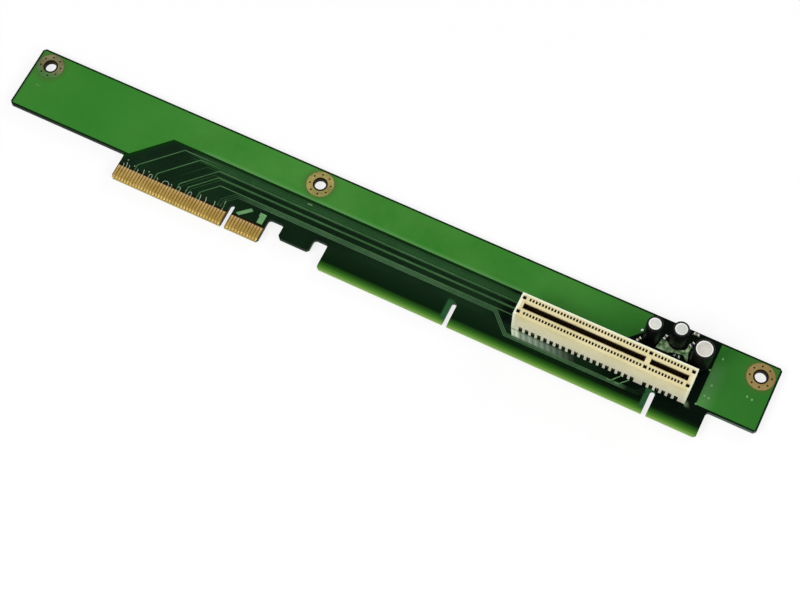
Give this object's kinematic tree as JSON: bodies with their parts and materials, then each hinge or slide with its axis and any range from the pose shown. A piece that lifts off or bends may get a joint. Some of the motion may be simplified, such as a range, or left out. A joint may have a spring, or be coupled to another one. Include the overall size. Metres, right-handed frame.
{
  "type": "pci expansion board",
  "caption": "Long riser board with a gold card edge and a keyed tongue below, and a card slot connector standing on its face.",
  "frame": {"origin": "middle of the footprint, at the tips of the solder joints on the back face", "axes": "+X along the board towards the slot's end, +Y away from the card edges, +Z out of the component face"},
  "size_m": [0.2534, 0.0308, 0.0138],
  "materials": {
    "fr4": "glass-epoxy laminate under dark green solder mask",
    "pour": "copper under green solder mask",
    "trace": "copper traces under green solder mask",
    "gold": "gold-plated copper",
    "housing": "moulded cream plastic",
    "contact": "gold-plated spring bronze",
    "solder": "tin solder",
    "can": "bare aluminium",
    "sleeve": "black shrink sleeve",
    "lead": "tinned steel wire",
    "chip_capacitor": "tan ceramic",
    "chip_resistor": "black coated ceramic",
    "terminal": "tinned end caps"
  },
  "bodies": {
    "root": {"back_ground_pour": "pour", "bundle_traces": "trace", "bus_traces": "trace", "capacitor_1_can": "can", "capacitor_1_leads": "lead", "capacitor_1_sleeve": "sleeve", "capacitor_2_can": "can", "capacitor_2_leads": "lead", "capacitor_2_sleeve": "sleeve", "capacitor_3_can": "can", "capacitor_3_leads": "lead", "capacitor_3_sleeve": "sleeve", "capacitor_copper": "trace", "capacitor_solder_joints": "solder", "chip_capacitor_bodies": "chip_capacitor", "chip_resistor_bodies": "chip_resistor", "chip_terminals": "terminal", "circuit_board": "fr4", "edge_fingers_back": "gold", "edge_fingers_front": "gold", "front_ground_pour": "pour", "mounting_pad_centre": "gold", "mounting_pad_left": "gold", "mounting_pad_right": "gold", "mounting_pads_back": "gold", "slot_contacts_back_row": "contact", "slot_contacts_front_row": "contact", "slot_housing": "housing", "slot_solder_joints": "solder", "wide_copper_shapes": "trace"}
  },
  "joints": []
}
